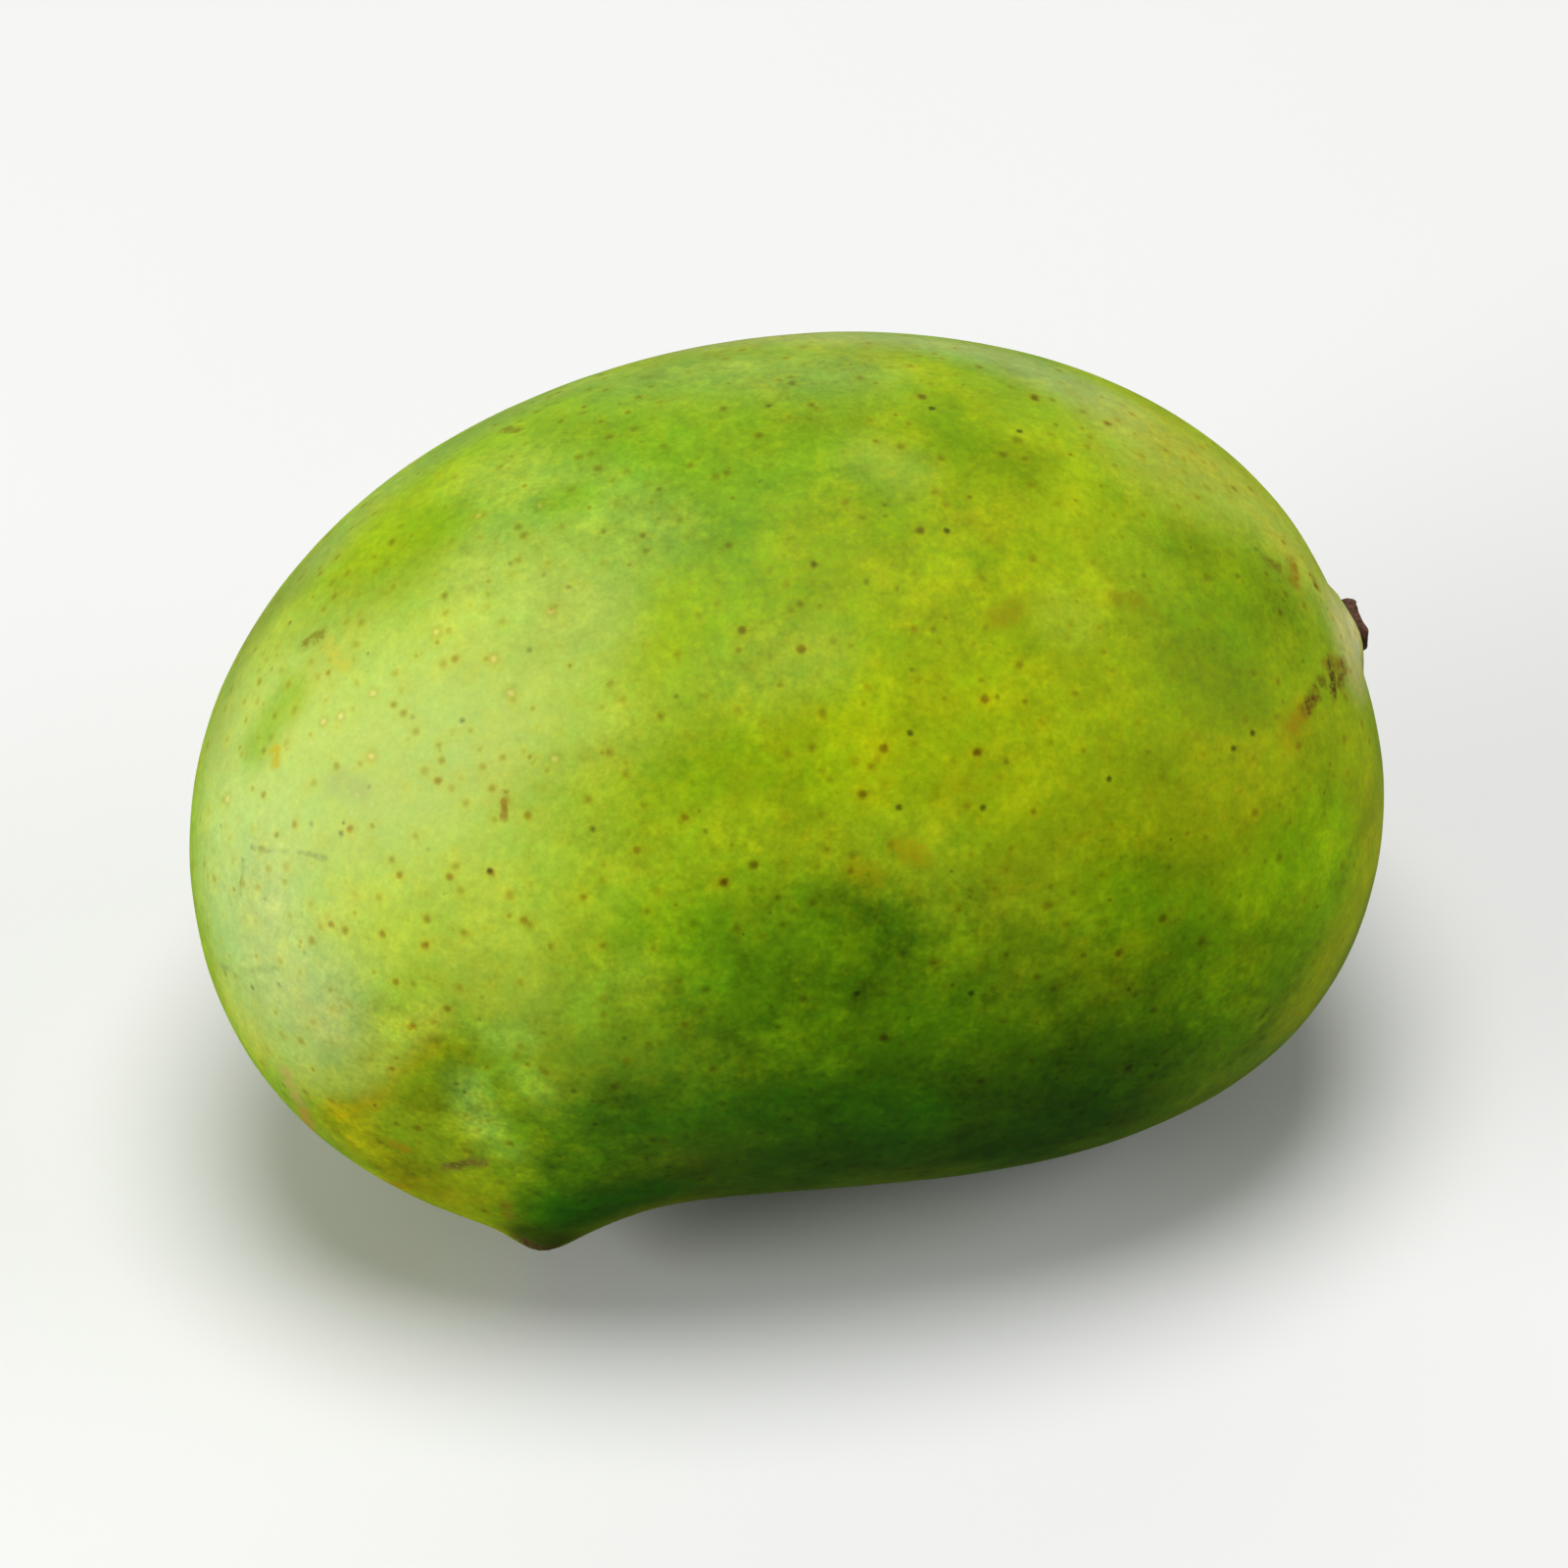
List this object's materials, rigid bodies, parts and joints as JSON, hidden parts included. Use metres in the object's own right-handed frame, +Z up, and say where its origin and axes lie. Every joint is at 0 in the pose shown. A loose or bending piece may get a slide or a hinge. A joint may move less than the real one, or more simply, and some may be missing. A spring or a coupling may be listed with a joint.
{
  "type": "mango",
  "caption": "Whole green mango, a plump oblique oval with a beak on its belly edge near the nose and a dry stem stub, lying on a small flat spot.",
  "frame": {"origin": "on the surface that the mango lies on, under the middle of its box", "axes": "+X along the fruit's length towards the stem, +Z up, +Y towards the side that its back leans to"},
  "size_m": [0.1102, 0.0746, 0.0738],
  "materials": {
    "skin": "satin",
    "stem": "matte"
  },
  "bodies": {
    "root": {"mango_fruit": "skin", "stem_stub": "stem"}
  },
  "joints": []
}
